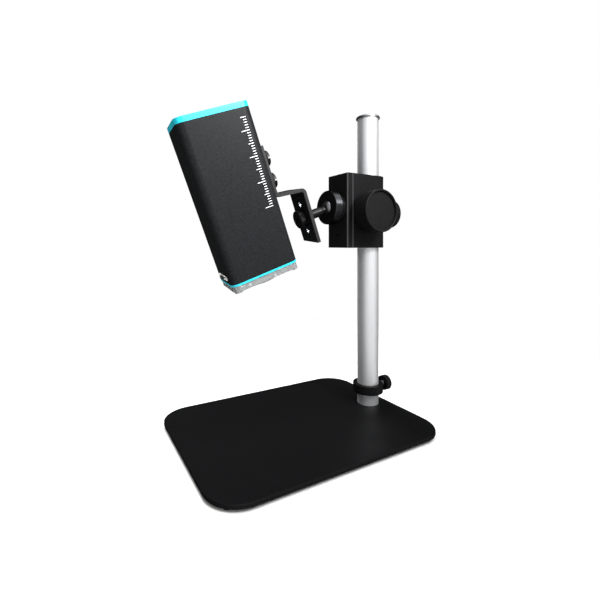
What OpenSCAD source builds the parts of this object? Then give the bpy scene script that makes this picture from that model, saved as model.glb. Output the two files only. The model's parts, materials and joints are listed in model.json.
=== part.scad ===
// Digital microscope head on a post stand with rack focusing and a ball joint.
// +Z is up, +Y points to the post, and the origin is under the middle of the whole stand's box.

/* [Base] */
// Width of the base plate, side to side
plate_w = 150; // [120:1:200]
// Length of the base plate, front to back
plate_l = 200; // [190:1:240]
// Thickness of the base plate
plate_t = 3; // [2:0.5:6]
// Corner radius of the base plate
plate_r = 25; // [12:1:40]
// Diameter of a rubber foot
foot_d = 10; // [8:1:14]
// Height of a rubber foot
foot_h = 2.5; // [2.5:0.5:8]
// How much a foot narrows towards the floor
foot_taper = 1; // [0.2:0.1:3]
// Distance from a foot to the rounded plate corner
foot_edge = 2.5; // [1:0.5:4]

/* [Post] */
// Outer diameter of the post tube
post_d = 20; // [18:0.5:21]
// Wall of the post tube
post_wall = 2.5; // [1.5:0.25:3.5]
// Height of the post above the plate
post_h = 272; // [260:1:340]
// Distance from the post axis to the back edge of the plate
post_inset = 18.75; // [16:0.25:40]
// How far the top cap stands proud of the post
cap_lip = 1.2; // [0.7:0.05:3]
// Thickness of the top cap's flange
cap_t = 2.2; // [2:0.2:8]
// Length of the cap's plug inside the tube
cap_plug_l = 14; // [8:1:25]
// Length of the threaded plug in the foot of the tube
foot_plug_l = 24; // [20:1:40]
// Diameter of the screw that holds the post
post_screw_d = 6; // [5:0.5:8]
// Head diameter of the post screw
post_screw_head_d = 12; // [10:0.5:18]
// Head height of the post screw
post_screw_head_h = 1.8; // [1:0.1:2]
// How far the post screw reaches into its plug
post_screw_bite = 18; // [10:1:19]

/* [Stop collar] */
// Wall of the stop collar
collar_wall = 4; // [3:0.25:6]
// Height of the stop collar
collar_h = 8; // [7:0.5:14]
// Height of the collar's underside above the plate
collar_z = 11; // [9:0.5:20]
// Diameter of the collar's thumb screw
collar_screw_d = 5; // [3:0.5:6]
// Outer diameter of the thumb knob
thumb_d = 14; // [13:0.5:18]
// Number of flutes round the thumb knob
thumb_flutes = 24; // [12:1:26]
// Diameter of a thumb knob's flute
thumb_flute_d = 1.4; // [1:0.1:1.6]
// Depth of a thumb knob's flute
thumb_flute_depth = 0.4; // [0.2:0.1:0.5]
// Length of the thumb knob
thumb_l = 6; // [5:0.5:12]
// Free length of screw between collar and thumb knob
thumb_gap = 5; // [1:0.5:10]

/* [Focus block] */
// Width of the block and of the slide plate
block_w = 28.6; // [28:0.2:34]
// Height of the block and of the slide plate
block_h = 67; // [58:1:80]
// Distance from the post axis to the block's front face
block_front = 31; // [30.5:0.5:40]
// Height of the block's middle above the plate
block_z = 182.2; // [175:0.1:186]
// Edge break on the long front edges of block and slide plate
block_chamfer = 0.8; // [0.2:0.1:1.2]
// Wall of the liner between post and block
bush_wall = 1.1; // [0.8:0.1:1.4]
// How far the liner's ends lie inside the block
bush_inset = 2; // [1:0.5:6]

/* [Focus drive] */
// Diameter of the pinion shaft
shaft_d = 5; // [4:0.25:5]
// Module of the rack and pinion teeth
tooth_module = 0.7; // [0.65:0.05:0.75]
// Pressure angle of the teeth
pressure_angle = 25; // [22:1:27]
// Tooth height above the pitch line, in modules
addendum = 0.8; // [0.7:0.05:0.9]
// Tooth depth below the pitch line, in modules
dedendum = 1.15; // [1.1:0.05:1.2]
// Play between the teeth along the pitch line
backlash = 0.16; // [0.1:0.02:0.24]
// Number of pinion teeth
pinion_teeth = 10; // [10:1:11]
// Width of the pinion
pinion_w = 8; // [6:0.5:10]
// Gap between the pinion's teeth and the liner
pinion_room = 0.5; // [0.4:0.1:1.5]
// Number of rack teeth, an even number
rack_teeth = 24; // [22:2:26]
// Width of the rack
rack_w = 6; // [5:0.5:7]
// Diameter of the focus knob
knob_d = 37.6; // [30:0.2:44]
// Length of the focus knob
knob_l = 14.9; // [12:0.1:20]
// Width of the rim round the knob's dished face
rim_w = 2; // [0.8:0.1:3]
// Depth of the dish in the knob's face
dish_depth = 2; // [1:0.1:3]
// Solid thickness between the knob's dish and its bore
knob_web = 3; // [2:0.25:4]
// Diameter of the bearing boss between block and knob
boss_d = 20; // [14:0.5:24]
// Length of the bearing boss outside the block
boss_l = 5.7; // [3:0.1:12]
// Diameter of the bearing's spigot in the block
bush_spigot_d = 9; // [7:0.25:9.5]
// Diameter of a grub screw in the knob or the shaft collar
grub_d = 3; // [2:0.25:4]
// Length of a grub screw
grub_l = 5; // [4:0.5:8]
// Diameter of the collar on the shaft's free end
shaft_collar_d = 16; // [15.4:0.2:20]
// Length of the shaft collar
shaft_collar_l = 7; // [5:0.5:10]
// How far the shaft lies below the middle of the block
drive_drop = 1.1; // [0:0.1:2]

/* [Post lock] */
// Diameter of the lock knob behind the post
lock_knob_d = 28; // [20:0.5:34]
// Length of the lock knob
lock_knob_l = 13.7; // [10:0.1:20]
// Gap between the block and the lock knob
lock_gap = 2; // [1:0.1:6]
// Number of flutes round the lock knob
lock_flutes = 40; // [6:1:48]
// Diameter of a flute
flute_d = 1.3; // [0.8:0.1:4]
// Depth of a flute
flute_depth = 0.35; // [0.2:0.05:1.4]
// Diameter of the lock screw
lock_screw_d = 6; // [4:0.5:8]
// How far the lock screw reaches into its knob
lock_screw_bite = 8; // [5:0.5:9]
// Thickness of the pad between lock screw and liner
lock_pad_t = 1.4; // [0.8:0.1:2]

/* [Slide] */
// Thickness of the slide plate
slide_t = 5.5; // [5:0.25:9]
// Gap between slide plate and block
slide_gap = 0.3; // [0.2:0.05:0.6]
// Width of the dovetail at the slide plate
tail_neck_w = 12; // [11:0.25:13]
// Width of the dovetail at its back
tail_w = 16; // [15:0.25:17]
// Depth of the dovetail
tail_depth = 6; // [5:0.25:6.5]
// Thickness of the gib strip beside the dovetail
gib_t = 1.6; // [1:0.1:2]
// Diameter of a gib screw
gib_screw_d = 3; // [2:0.25:3.5]
// Distance of a gib screw from the block's middle
gib_screw_rise = 18; // [14:0.5:24]
// How far the gib screws lie below the block's side
gib_screw_sink = 0.8; // [0.3:0.1:2]
// Depth of the rack's slot in the dovetail
rack_slot = 1.5; // [1:0.1:2]
// Distance of the rack screw below the block's middle
rack_screw_drop = 22.3; // [18:0.1:23]
// Diameter of the rack screw
rack_screw_d = 3; // [2:0.25:3.5]
// Head diameter of the rack screw
rack_screw_head_d = 5.6; // [5:0.1:7]
// Head height of the rack screw
rack_screw_head_h = 2; // [1:0.1:3]
// How far the rack screw's head lies below the slide plate's face
rack_screw_sink = 0.2; // [0.2:0.1:1.5]
// How far the screws reach into the rack
rack_bite = 2.2; // [1.5:0.1:3]

/* [Ball joint] */
// Diameter of the ball
ball_d = 15; // [14.5:0.1:15.5]
// Distance from the slide plate's face to the ball centre
ball_out = 8.45; // [8.2:0.05:8.8]
// Height of the ball centre above the block's middle
ball_rise = 2.8; // [0:0.1:4]
// Outer diameter of the lock ring
ring_d = 30.6; // [28:0.2:34]
// Length of the lock ring
ring_l = 7.8; // [6.4:0.1:8]
// Distance from the ball centre to the ring's front face
ring_front = 4.4; // [4.35:0.05:4.6]
// Diameter of the ring's mouth
mouth_d = 13; // [12.8:0.1:13.2]
// Outer diameter of the ball socket
socket_d = 25; // [24:0.2:26]
// Diameter of the socket's threaded neck
socket_neck_d = 22.6; // [21:0.1:23]
// How far the socket's neck reaches in front of the ball centre
neck_front = 2.2; // [1.5:0.1:2.4]
// Diameter of the socket's spigot in the slide plate
spigot_d = 19.4; // [19:0.1:20.5]
// Depth of the socket's spigot in the slide plate
spigot_l = 3; // [2.6:0.1:3.4]
// Thickness of the socket's floor
floor_t = 1.3; // [1:0.1:1.6]
// How far the ball seat reaches outside the ball's radius
seat_rim = 0.5; // [0.2:0.1:0.6]
// Distance from the ball centre back to the seat's rim
seat_front = 4.6; // [4.2:0.1:5.4]
// Diameter of the socket screw
socket_screw_d = 4; // [3:0.25:4.5]
// Head diameter of the socket screw
socket_screw_head_d = 7.2; // [6:0.1:7.6]
// Head height of the socket screw
socket_screw_head_h = 1.5; // [1:0.1:1.8]
// Diameter of the stem at the ball
neck_d = 7; // [6.4:0.1:7.2]
// Distance from the ball centre to the end of the thin neck
neck_l = 9; // [8.5:0.1:11]
// Length of the taper from neck to stem
neck_taper = 1.5; // [0.5:0.1:2]
// Diameter of the stem at the bracket
stem_d = 8.4; // [8:0.1:10]
// Length of the stem from the ball centre to the bracket
stem_l = 25.1; // [22:0.1:34]
// Diameter of the stem's tenon in the ball
tenon_d = 4.6; // [3:0.1:5]
// Depth of the tenon's hole in the ball
tenon_l = 5; // [4:0.25:8]
// Thread diameter of the stem screw
stem_screw_d = 5; // [4:0.25:5.5]
// Head diameter of the stem screw
stem_screw_head_d = 16; // [12:0.25:18]
// Head height of the stem screw
stem_screw_head_h = 5.75; // [5:0.25:10]
// Depth of the stem screw's hole in the stem
stem_hole_l = 11; // [8:0.5:12]

/* [Bracket] */
// Width of the bracket
bracket_w = 28; // [20:0.5:32]
// Thickness of the bracket's sheet
bracket_t = 3; // [2:0.25:4]
// Gap between the head and the bracket's free flange
bracket_reach = 25.3; // [24:0.1:34]
// Outer radius of the bracket's bends
bend_r = 4.5; // [4.2:0.1:6]
// Distance from the stem axis up to the web's underside
web_rise = 23.5; // [22:0.5:30]
// How many degrees the web climbs towards the head
web_slope = 6; // [0:0.5:8]
// Distance from the stem axis down to the flange's end
flange_drop = 22.5; // [18:0.5:30]
// Distance of a free hole from the stem axis
hole_pitch = 12.25; // [11.5:0.25:13]
// Diameter of a free hole in the bracket
hole_d = 4.4; // [3:0.1:4.6]
// Distance from the stem axis up to the lower thumb screw
screw_rise = 39.5; // [38:0.5:46]
// Distance between the two thumb screws
screw_pitch = 18.9; // [15:0.1:22]
// Distance from the upper thumb screw to the bracket's upper end
bracket_end = 10.3; // [8:0.1:14]
// Thread diameter of a thumb screw
head_screw_d = 4; // [3:0.25:4.5]
// Head diameter of a thumb screw
head_screw_head_d = 13; // [10:0.25:14]
// Head height of a thumb screw
head_screw_head_h = 6.3; // [4:0.1:9]
// Width of the coin slot in a thumb screw
coin_slot_w = 1.4; // [0.8:0.1:2]
// Depth of the coin slot in a thumb screw
coin_slot_depth = 2; // [1:0.1:3]
// Diameter of the washer under the stem screw
washer_d = 10; // [8:0.25:14]
// Thickness of the washer under the stem screw
washer_t = 1; // [0.5:0.1:2]
// Diameter of a thumb screw's threaded insert
insert_d = 6; // [5.5:0.25:8]
// Length of a thumb screw's threaded insert
insert_l = 6; // [4:0.5:9]

/* [Head] */
// Turn of the head about the vertical, at rest
head_swing = -8.5; // [-12:0.5:0]
// Tilt of the head, lens end towards the post, at rest
head_tilt = 20.5; // [10:0.5:22]
// Turn of the head about the stem, at rest
head_spin = 5; // [-10:0.5:10]
// Width of the head, side to side
head_w = 44; // [39:0.5:50]
// Depth of the head, front to back
head_d = 59; // [56:0.5:70]
// Corner radius of the head's long edges
head_r = 6.7; // [3:0.1:7]
// Distance from the stem axis up to the head's top
head_rise = 103.4; // [98:0.1:120]
// Thickness of the top cap
cap_h = 4.2; // [3.5:0.1:7]
// Length of the head's body tube
body_l = 125.6; // [118:0.1:140]
// Thickness of the lower bezel
bezel_h = 1.6; // [1.5:0.1:4]
// Wall of the body tube
wall = 2; // [1.5:0.1:2.5]
// Distance of the corner screws from the head's sides
corner_inset = 4.6; // [4.2:0.1:5]
// Radius of the corner screw columns
column_r = 3.3; // [3:0.1:3.6]
// Thread diameter of the corner screws
corner_screw_d = 2.5; // [2:0.1:3]
// Head diameter of the corner screws
corner_head_d = 4.8; // [4:0.1:5.4]
// Head height of the corner screws
corner_head_h = 1.8; // [1:0.1:2.4]
// Length of a cap screw
cap_screw_l = 10; // [8:0.5:16]
// Length of a hood screw
hood_screw_l = 13; // [11:0.5:20]

/* [Lens end] */
// Thickness of the clear hood
hood_t = 5.1; // [3.5:0.1:7]
// How far the hood is set in from the head's sides
hood_inset = 0.8; // [0.4:0.1:2]
// How far the hood's corner feet stand proud
hood_foot = 0.8; // [0.4:0.1:2]
// Outer diameter of the hood's nozzle
nozzle_d = 34; // [30:0.5:36]
// How far the nozzle stands proud of the hood
nozzle_h = 2.2; // [1:0.1:4]
// Outer diameter of the lens barrel
barrel_d = 20; // [19:0.2:20.4]
// Length of the lens barrel
barrel_l = 44; // [40:0.5:52]
// How far the barrel reaches into the hood
barrel_drop = 4; // [2.5:0.1:5]
// Diameter of the front lens
front_lens_d = 16; // [14:0.2:17]
// Thickness of the front lens
front_lens_t = 4; // [3:0.1:5]
// How far the front lens lies inside the barrel's mouth
front_lens_sink = 1; // [0.5:0.1:2]
// Dome of the front lens
front_lens_sag = 1.6; // [0.5:0.1:2]
// Diameter of the rear lens
rear_lens_d = 11; // [8:0.2:12]
// Thickness of the rear lens
rear_lens_t = 3; // [2:0.1:4]
// Height of the rear lens in the barrel
rear_lens_z = 22; // [12:0.5:26]
// Dome of the rear lens
rear_lens_sag = 1; // [0.4:0.1:1.4]
// Width of the ledge that carries the rear lens
lens_ledge = 1; // [0.5:0.1:1.5]
// Width of the lamp window in the bezel
window_w = 26; // [24:0.5:27]
// Length of the lamp window in the bezel
window_l = 37; // [34:0.5:38]
// How far the lamp board overlaps the window's edge
lamp_board_lap = 1.4; // [0.8:0.1:1.6]
// Thickness of the lamp board
lamp_board_t = 1.2; // [1:0.1:1.6]
// Gap between the lamp board and the barrel
lamp_board_gap = 1; // [0.5:0.1:2]
// Side of a lamp
lamp_w = 3; // [2:0.1:3.5]
// Height of a lamp
lamp_h = 1.3; // [0.8:0.1:1.8]
// Distance between neighbouring lamps
lamp_pitch = 8.5; // [6:0.25:9]
// Distance of the lamp rows from the lens axis
lamp_row = 15.5; // [14:0.25:16]
// Height of the lens holder above the bezel
holder_z = 9; // [7.5:0.5:12]
// Thickness of the lens holder's plate
holder_t = 3; // [2:0.25:5]
// Width of a lens holder's leg
leg_w = 3; // [2:0.1:3.2]
// Length of a lens holder's leg along the head's side
leg_l = 8; // [5:0.5:10]

/* [Electronics] */
// Thickness of the main board and the sensor board
board_t = 1.6; // [1:0.1:2]
// Length of the main board
board_l = 62; // [50:1:66]
// Distance of the main board from the head's middle plane
board_x = 9; // [8:0.5:11]
// Distance of the main board below the top cap
board_drop = 1; // [0.5:0.1:3]
// Width of a board guide's rib
guide_w = 1.5; // [1:0.1:2]
// Height of a board guide's rib
guide_h = 2.5; // [1.5:0.1:4]
// Side of the square sensor board
sensor_board_w = 30; // [24:0.5:32]
// Width of the image sensor
sensor_w = 10; // [7:0.5:11]
// Length of the image sensor
sensor_l = 8; // [5:0.5:9]
// Thickness of the image sensor
sensor_t = 1.5; // [1:0.1:2]
// Room round the image sensor in the barrel
sensor_room = 1; // [0.5:0.1:2]
// Width of the ribbon cable
cable_w = 12; // [8:0.5:16]
// Thickness of the ribbon cable
cable_t = 0.3; // [0.2:0.1:0.6]
// How far the ribbon cable lies on the main board
cable_lap = 8; // [4:0.5:14]
// Side of the processor
chip_w = 14; // [8:0.5:18]
// Thickness of the processor
chip_t = 1.2; // [0.8:0.1:2]
// Width of the USB socket's mouth
usb_w = 9; // [8.5:0.1:10]
// Height of the USB socket's mouth
usb_h = 3.2; // [3:0.1:3.6]
// Length of the USB socket
usb_l = 7.5; // [7:0.1:9]
// Wall of the USB socket
usb_wall = 0.35; // [0.3:0.05:0.5]
// Depth of the USB socket below the cap's face
usb_recess = 1; // [0.5:0.1:1.5]
// Width of the USB socket's tongue
tongue_w = 6.5; // [5:0.1:6.8]
// Thickness of the USB socket's tongue
tongue_t = 0.7; // [0.5:0.1:0.9]

/* [Lamp slider] */
// Length of the slider's white bezel
slider_bezel_l = 25.6; // [24:0.2:28]
// Height of the slider's white bezel
slider_bezel_h = 3.6; // [3.4:0.1:4.4]
// Width of the bezel's rim
bezel_rim = 0.9; // [0.7:0.05:1]
// How far the bezel stands proud of the body
bezel_proud = 0.5; // [0.3:0.1:1]
// Distance from the bezel's middle to the body's lower edge
slider_rise = 4.8; // [4.5:0.1:7]
// Travel of the slider from its middle, each way
slider_travel = 6; // [4:0.25:7]
// Length of the slider's grip
slider_grip_l = 6; // [5:0.2:7]
// Height of the slider's grip
slider_grip_h = 2.5; // [1.5:0.1:3]
// How far the grip stands proud of the bezel
grip_proud = 0.9; // [0.5:0.1:2]
// Length of the slider's neck in the bezel's slot
slider_neck_l = 5; // [3:0.2:6]
// Depth of the slider unit inside the body
unit_t = 4; // [3:0.25:5]
// Wall of the slider unit
unit_wall = 1; // [0.6:0.1:1.5]

/* [Fasteners] */
// Width of a hex socket over its corners, as a share of the thread
key_share = 0.7; // [0.5:0.05:0.8]
// Depth of a hex socket, as a share of the screw head's height
key_depth_share = 0.6; // [0.3:0.05:0.7]
// Edge break on turned pieces
edge_break = 0.6; // [0.2:0.1:0.8]

/* [Clearances] */
// Radial gap of a running or sliding fit
run_gap = 0.1; // [0.05:0.01:0.15]
// Radial gap of a pressed, screwed or glued fit
fit_gap = 0.05; // [0.02:0.01:0.06]
// Gap between faces that pass each other
pass_gap = 0.3; // [0.25:0.05:0.4]
// Gap at the end of a screw in a blind hole
tip_gap = 1; // [0.5:0.1:2]

/* [Hidden] */
$fn = 64;

// Cuts run this far past the faces they open, as a share of the thinnest sheet
cut = plate_t / 3;

// Heights and places of the stand
top_z = foot_h + plate_t;
tube_bore_d = post_d - 2 * post_wall;
collar_r = post_d / 2 + run_gap + collar_wall;
bush_d = post_d + 2 * run_gap + 2 * bush_wall;
block_bore_d = bush_d + 2 * run_gap;
back_r = block_w / 2;
lock_knob_y = back_r + lock_gap;
lock_pad_y = bush_d / 2 + run_gap + fit_gap;
slide_back = block_front + slide_gap;
slide_face = slide_back + slide_t;
ball_y = slide_face + ball_out;

// Head sizes, measured from the ball centre along the stem and along the head
head_gap = bracket_reach + bracket_t + stem_l;
head_mid = head_gap + head_d / 2;
body_top = head_rise - cap_h;
body_end = body_top - body_l;
bezel_end = body_end - bezel_h;
hood_end = bezel_end - hood_t;

// How far the tilted head reaches in front of the ball centre
head_dir_x = sin(head_swing) * cos(head_spin) + cos(head_swing) * sin(head_tilt) * sin(head_spin);
head_dir_y = cos(head_swing) * cos(head_tilt);
head_dir_z = sin(head_swing) * sin(head_spin) - cos(head_swing) * sin(head_tilt) * cos(head_spin);
round_loss = head_r * (abs(head_dir_x) + head_dir_y - norm([head_dir_x, head_dir_y]));
head_reach = abs(head_dir_x) * head_w / 2 + head_dir_y * (head_gap + head_d)
    - head_dir_z * head_rise - round_loss;

// The origin lies under the middle of the box round the whole stand
front_reach = max(plate_l - post_inset, ball_y + head_reach);
back_reach = max(post_inset, lock_knob_y + lock_knob_l);
post_y = (front_reach - back_reach) / 2;
plate_y = post_y + post_inset - plate_l / 2;

// Rack and pinion, placed so that the pinion just clears the liner
tooth_pitch = PI * tooth_module;
tooth_tip = addendum * tooth_module;
tooth_root = dedendum * tooth_module;
pinion_r = tooth_module * pinion_teeth / 2;
pinion_tip_r = pinion_r + tooth_tip;
base_r = pinion_r * cos(pressure_angle);
drive_y = bush_d / 2 + pinion_tip_r + pinion_room;
rack_line = drive_y + pinion_r;
rack_l = rack_teeth * tooth_pitch;
tail_back = block_front - tail_depth;
groove_back = tail_back - pass_gap;
rack_back = tail_back + rack_slot;

// Focus knob and collar on the pinion shaft
bush_in = pinion_w / 2 + 2 * pass_gap;
boss_end = block_w / 2 + boss_l;
knob_in = boss_end + pass_gap;
knob_bore_l = knob_l - dish_depth - knob_web;
shaft_end = knob_in + knob_bore_l - fit_gap;
collar_out = knob_in + shaft_collar_l;

// Ball joint
ball_r = ball_d / 2;
cup_r = ball_r + pass_gap;
seat_r = ball_r + seat_rim;
socket_bore_r = seat_r + pass_gap;
socket_step = ring_l - ring_front + pass_gap;
spigot_end = ball_out + spigot_l;
socket_floor = spigot_end - floor_t;

// Bracket and its screws, with the heights where its two bends end
near_bend_z = web_rise + bracket_t - bend_r;
far_bend_z = near_bend_z + (2 * bend_r - bracket_t
    + (bracket_reach + bracket_t - 2 * bend_r) * sin(web_slope)) / cos(web_slope);
screw_top = screw_rise + screw_pitch;
bracket_top = screw_top + bracket_end;

// Inside the head
inner_w = head_w - 2 * wall;
inner_d = head_d - 2 * wall;
corner_x = head_w / 2 - corner_inset;
corner_y = head_d / 2 - corner_inset;
board_top = body_top - board_drop;
board_end = board_top - board_l;
board_mid = (board_top + board_end) / 2;
board_face = board_t / 2 - board_x;
usb_x = board_face + usb_h / 2;
leg_x = inner_w / 2 - pass_gap - leg_w / 2;
barrel_base = bezel_end - barrel_drop;
barrel_top = barrel_base + barrel_l;
cable_z = barrel_top + board_t;
slot_h = slider_bezel_h - 2 * bezel_rim;
slot_l = slider_bezel_l - 2 * bezel_rim;

// Frames of the moving groups
module at_post(z) {
    translate([0, post_y, z]) children();
}
module at_carriage() {
    translate([0, post_y, top_z + block_z]) children();
}
module at_drive() {
    at_carriage() translate([0, -drive_y, -drive_drop]) children();
}
module at_ball() {
    at_carriage() translate([0, -ball_y, ball_rise]) children();
}
module at_stem() {
    at_ball() rotate([0, 0, head_swing]) rotate([head_tilt, 0, 0]) rotate([0, head_spin, 0]) children();
}
module at_head() {
    at_stem() translate([0, -head_mid, 0]) children();
}
module at_corners(z) {
    for (x = [-1, 1], y = [-1, 1])
        translate([x * corner_x, y * corner_y, z]) children();
}
module at_slider() {
    at_head() translate([0, -head_d / 2, body_end + slider_rise]) rotate([-90, 0, 0]) children();
}

// Cylinders along one axis, from a place on it
module along_x(from, to, d, d_to = undef) {
    translate([from, 0, 0]) rotate([0, 90, 0])
        cylinder(h = to - from, d1 = d, d2 = is_undef(d_to) ? d : d_to);
}
module along_y(from, to, d, d_to = undef) {
    translate([0, from, 0]) rotate([-90, 0, 0])
        cylinder(h = to - from, d1 = d, d2 = is_undef(d_to) ? d : d_to);
}
// Cylinder between two distances in front of the ball centre
module ahead(from, to, d, d_to = undef) {
    mirror([0, 1, 0]) along_y(from, to, d, d_to);
}
// Drum along Y with flutes round it and a broken outer edge
module fluted_drum(from, l, d, flutes, flute_d, flute_depth) {
    to = from + l;
    difference() {
        union() {
            along_y(from, to - edge_break, d);
            along_y(to - edge_break, to, d, d - 2 * edge_break);
        }
        for (k = [0 : flutes - 1])
            rotate([0, k * 360 / flutes, 0])
                translate([(d + flute_d) / 2 - flute_depth, 0, 0]) along_y(from - cut, to + cut, flute_d);
    }
}
// Hex socket that opens at a height and runs down from there
module hex_socket(thread, head_h) {
    depth = key_depth_share * head_h;
    translate([0, 0, -depth]) cylinder(h = depth + cut, d = key_share * thread, $fn = 6);
}

module rounded_outline(w, d, r) {
    square([w - 2 * r, d], center = true);
    square([w, d - 2 * r], center = true);
    for (x = [-1, 1], y = [-1, 1])
        translate([x * (w / 2 - r), y * (d / 2 - r)]) circle(r);
}
module pill(l, h) {
    square([l - h, h], center = true);
    for (x = [-1, 1])
        translate([x * (l - h) / 2, 0]) circle(d = h);
}

// Base plate on four feet
module base_plate() {
    color("#1c1c1d") difference() {
        translate([0, plate_y, foot_h]) linear_extrude(plate_t) rounded_outline(plate_w, plate_l, plate_r);
        at_post(foot_h - cut) cylinder(h = plate_t + 2 * cut, d = post_screw_d + 2 * fit_gap);
    }
}
module rubber_feet() {
    reach = (plate_r - foot_edge - foot_d / 2) / sqrt(2) - plate_r;
    color("#151515")
        for (x = [-1, 1], y = [-1, 1])
            translate([x * (plate_w / 2 + reach), plate_y + y * (plate_l / 2 + reach), 0])
                cylinder(h = foot_h, d1 = foot_d - foot_taper, d2 = foot_d);
}

// Post with a plug and screw at its foot and a cap on top
module post() {
    color("#c4c5c7") at_post(top_z) difference() {
        cylinder(h = post_h, d = post_d);
        translate([0, 0, -cut]) cylinder(h = post_h + 2 * cut, d = tube_bore_d);
    }
}
module foot_plug() {
    color("#9a9b9d") at_post(top_z) difference() {
        cylinder(h = foot_plug_l, d = tube_bore_d - 2 * fit_gap);
        translate([0, 0, -cut]) cylinder(h = foot_plug_l + 2 * cut, d = post_screw_d + 2 * fit_gap);
    }
}
module post_screw() {
    color("#8d8e90") at_post(foot_h - post_screw_head_h) difference() {
        union() {
            cylinder(h = post_screw_head_h, d = post_screw_head_d);
            cylinder(h = post_screw_head_h + plate_t + post_screw_bite, d = post_screw_d);
        }
        mirror([0, 0, 1]) hex_socket(post_screw_d, post_screw_head_h);
    }
}
module post_cap() {
    flange_d = post_d + 2 * cap_lip;
    color("#3a3b3d") at_post(top_z + post_h) {
        cylinder(h = cap_t - edge_break, d = flange_d);
        translate([0, 0, cap_t - edge_break])
            cylinder(h = edge_break, d1 = flange_d, d2 = flange_d - 2 * edge_break);
        translate([0, 0, -cap_plug_l]) cylinder(h = cap_plug_l, d = tube_bore_d - 2 * fit_gap);
    }
}

// Stop collar, with a thumb screw at the back
module stop_collar() {
    color("#1b1b1c") at_post(top_z + collar_z) difference() {
        cylinder(h = collar_h, r = collar_r);
        translate([0, 0, -cut]) cylinder(h = collar_h + 2 * cut, d = post_d + 2 * run_gap);
        translate([0, 0, collar_h / 2]) along_y(0, collar_r + cut, collar_screw_d + 2 * run_gap);
    }
}
module collar_thumb_screw() {
    knob_y = collar_r + thumb_gap;
    color("#1a1a1b") at_post(top_z + collar_z + collar_h / 2) {
        along_y(post_d / 2 + run_gap, knob_y + thumb_l / 2, collar_screw_d);
        fluted_drum(knob_y, thumb_l, thumb_d, thumb_flutes, thumb_flute_d, thumb_flute_depth);
    }
}

// Focusing block on its liner
module post_bush() {
    l = block_h - 2 * bush_inset;
    color("#d9d7cf") at_carriage() translate([0, 0, -l / 2]) difference() {
        cylinder(h = l, d = bush_d);
        translate([0, 0, -cut]) cylinder(h = l + 2 * cut, d = post_d + 2 * run_gap);
    }
}
// Half width of the dovetail at a distance in front of the post axis
function tail_half(y) = tail_neck_w / 2
    + (tail_w - tail_neck_w) / 2 * (slide_back - y) / (slide_back - tail_back);
gib_y = (block_front + tail_back) / 2;
gib_x = tail_half(tail_back) + run_gap + gib_t;
module block_outline() {
    open_y = block_front + cut;
    difference() {
        union() {
            circle(back_r);
            polygon([
                [-back_r, 0], [-back_r, block_chamfer - block_front], [block_chamfer - back_r, -block_front],
                [back_r - block_chamfer, -block_front], [back_r, block_chamfer - block_front], [back_r, 0]
            ]);
        }
        circle(d = block_bore_d);
        // Dovetail groove, wider on the gib's side
        polygon([
            [tail_half(open_y) + run_gap, -open_y],
            [tail_half(groove_back) + run_gap, -groove_back],
            [-tail_half(groove_back) - run_gap - gib_t, -groove_back],
            [-tail_half(open_y) - run_gap - gib_t, -open_y]
        ]);
        // Channel for the rack's teeth
        translate([-rack_w / 2 - pass_gap, -tail_back])
            square([rack_w + 2 * pass_gap, tail_back - rack_line + tooth_tip + pass_gap]);
    }
}
module focus_block() {
    pocket_w = pinion_w + 2 * pass_gap;
    pocket_r = pinion_tip_r + pass_gap;
    color("#1d1d1e") difference() {
        at_carriage() translate([0, 0, -block_h / 2]) linear_extrude(block_h) block_outline();
        at_drive() {
            along_x(-pocket_w / 2, pocket_w / 2, 2 * pocket_r);
            translate([-pocket_w / 2, -pinion_r - tooth_root, -pocket_r])
                cube([pocket_w, pinion_r + tooth_root, 2 * pocket_r]);
            along_x(-block_w, block_w, bush_spigot_d + 2 * fit_gap);
        }
        at_carriage() {
            along_y(0, block_w, lock_screw_d + 2 * run_gap);
            for (z = [-1, 1])
                translate([0, -gib_y, z * gib_screw_rise])
                    along_x(-block_w, -tail_half(gib_y), gib_screw_d + 2 * fit_gap);
        }
    }
}

// Lock knob behind the post, its screw, and the pad that bears on the liner
module lock_knob() {
    color("#1a1a1b") at_carriage() difference() {
        fluted_drum(lock_knob_y, lock_knob_l, lock_knob_d, lock_flutes, flute_d, flute_depth);
        along_y(0, lock_knob_y + lock_screw_bite, lock_screw_d + 2 * fit_gap);
    }
}
module lock_screw() {
    color("#8d8e90") at_carriage()
        along_y(lock_pad_y + lock_pad_t + pass_gap, lock_knob_y + lock_screw_bite - fit_gap, lock_screw_d);
}
module lock_pad() {
    color("#b08d4a") at_carriage() along_y(lock_pad_y, lock_pad_y + lock_pad_t, lock_screw_d);
}

// Pinion with involute flanks, one tooth towards the rack
function involute(angle) = tan(angle) * 180 / PI - angle;
function flank_angle(r) = (tooth_pitch - backlash) / (4 * pinion_r) * 180 / PI
    + involute(pressure_angle) - involute(acos(min(base_r / r, 1)));
function polar(r, a) = [r * cos(a), r * sin(a)];
flank_steps = 4;
flank_radii = [for (k = [0 : flank_steps]) base_r + (pinion_tip_r - base_r) * k / flank_steps];
module pinion_outline() {
    step = 360 / pinion_teeth;
    root_r = pinion_r - tooth_root;
    polygon([
        for (k = [0 : pinion_teeth - 1]) each concat(
            [polar(root_r, k * step - flank_angle(base_r))],
            [for (r = flank_radii) polar(r, k * step - flank_angle(r))],
            [for (j = [flank_steps : -1 : 0]) polar(flank_radii[j], k * step + flank_angle(flank_radii[j]))],
            [polar(root_r, k * step + flank_angle(base_r))]
        )
    ]);
}
module pinion_shaft() {
    color("#a5a6a8") at_drive() {
        along_x(-collar_out, shaft_end, shaft_d);
        translate([-pinion_w / 2, 0, 0]) rotate([0, 90, 0]) rotate(-90)
            linear_extrude(pinion_w) pinion_outline();
    }
}
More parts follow.
